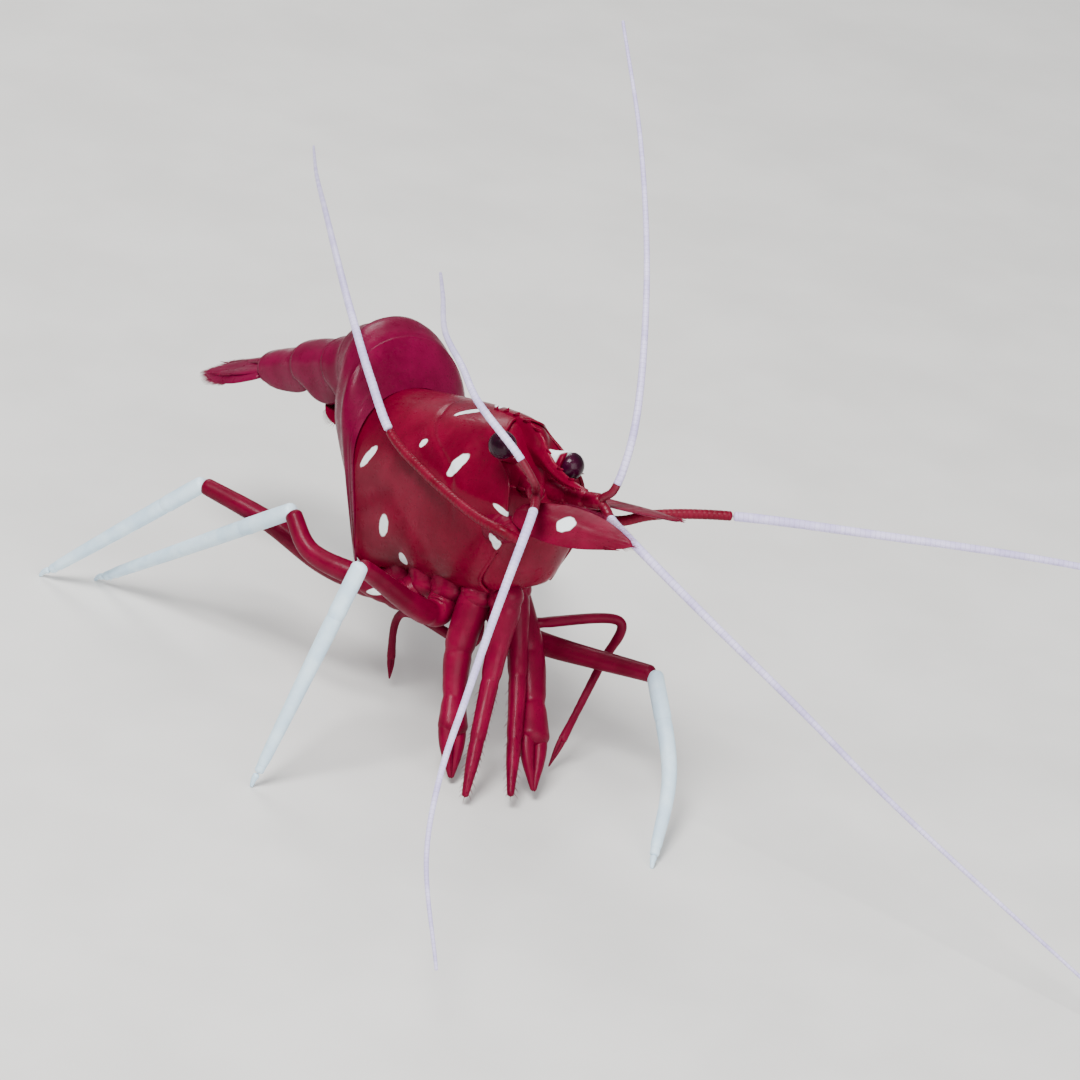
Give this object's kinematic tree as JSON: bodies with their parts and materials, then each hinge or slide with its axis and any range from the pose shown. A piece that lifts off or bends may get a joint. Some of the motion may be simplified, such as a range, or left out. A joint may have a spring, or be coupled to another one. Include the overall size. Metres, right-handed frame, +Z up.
{
  "type": "fire shrimp",
  "caption": "Standing fire shrimp with a humped abdomen, red shell spotted with white, white lower legs and long white feelers.",
  "frame": {"origin": "bottom centre of the bounding box, on the floor that the feet stand on", "axes": "+Z up from the floor, head towards -Y, +X to the animal's own left"},
  "size_m": [0.0752, 0.089, 0.0389],
  "materials": {
    "head_shell": "glossy scarlet shell with white spots",
    "abdomen_shell": "glossy deep red shell",
    "limb_red": "satin red cuticle",
    "limb_white": "satin bluish white cuticle",
    "feeler": "satin white, faintly lavender, ringed",
    "eye": "wet dark purple"
  },
  "bodies": {
    "root": {"abdomen_1": "abdomen_shell", "abdomen_2": "abdomen_shell", "abdomen_3": "abdomen_shell", "abdomen_4": "abdomen_shell", "abdomen_5": "abdomen_shell", "abdomen_6": "abdomen_shell", "antenna_base_L": "head_shell", "antenna_base_R": "head_shell", "antenna_feeler_red_L": "head_shell", "antenna_feeler_red_R": "head_shell", "antenna_feeler_white_L": "feeler", "antenna_feeler_white_R": "feeler", "antenna_scale_L": "head_shell", "antenna_scale_R": "head_shell", "antennule_L": "head_shell", "antennule_R": "head_shell", "antennule_feeler_inner_L": "feeler", "antennule_feeler_inner_R": "feeler", "antennule_feeler_outer_L": "feeler", "antennule_feeler_outer_R": "feeler", "carapace": "head_shell", "cheliped_1_L": "limb_red", "cheliped_1_R": "limb_red", "cheliped_2_L": "limb_red", "cheliped_2_R": "limb_red", "eye_L": "eye", "eye_R": "eye", "eyestalk_L": "head_shell", "eyestalk_R": "head_shell", "leg_3_L_lower": "limb_white", "leg_3_L_upper": "limb_red", "leg_3_R_lower": "limb_white", "leg_3_R_upper": "limb_red", "leg_4_L_lower": "limb_white", "leg_4_L_upper": "limb_red", "leg_4_R_lower": "limb_white", "leg_4_R_upper": "limb_red", "leg_5_L_lower": "limb_white", "leg_5_L_upper": "limb_red", "leg_5_R_lower": "limb_white", "leg_5_R_upper": "limb_red", "maxilliped_3_L": "limb_red", "maxilliped_3_R": "limb_red", "swimmeret_1_L": "abdomen_shell", "swimmeret_1_R": "abdomen_shell", "swimmeret_2_L": "abdomen_shell", "swimmeret_2_R": "abdomen_shell", "swimmeret_3_L": "abdomen_shell", "swimmeret_3_R": "abdomen_shell", "swimmeret_4_L": "abdomen_shell", "swimmeret_4_R": "abdomen_shell", "swimmeret_5_L": "abdomen_shell", "swimmeret_5_R": "abdomen_shell", "telson": "abdomen_shell", "uropod_inner_L": "abdomen_shell", "uropod_inner_R": "abdomen_shell", "uropod_outer_L": "abdomen_shell", "uropod_outer_R": "abdomen_shell"}
  },
  "joints": []
}
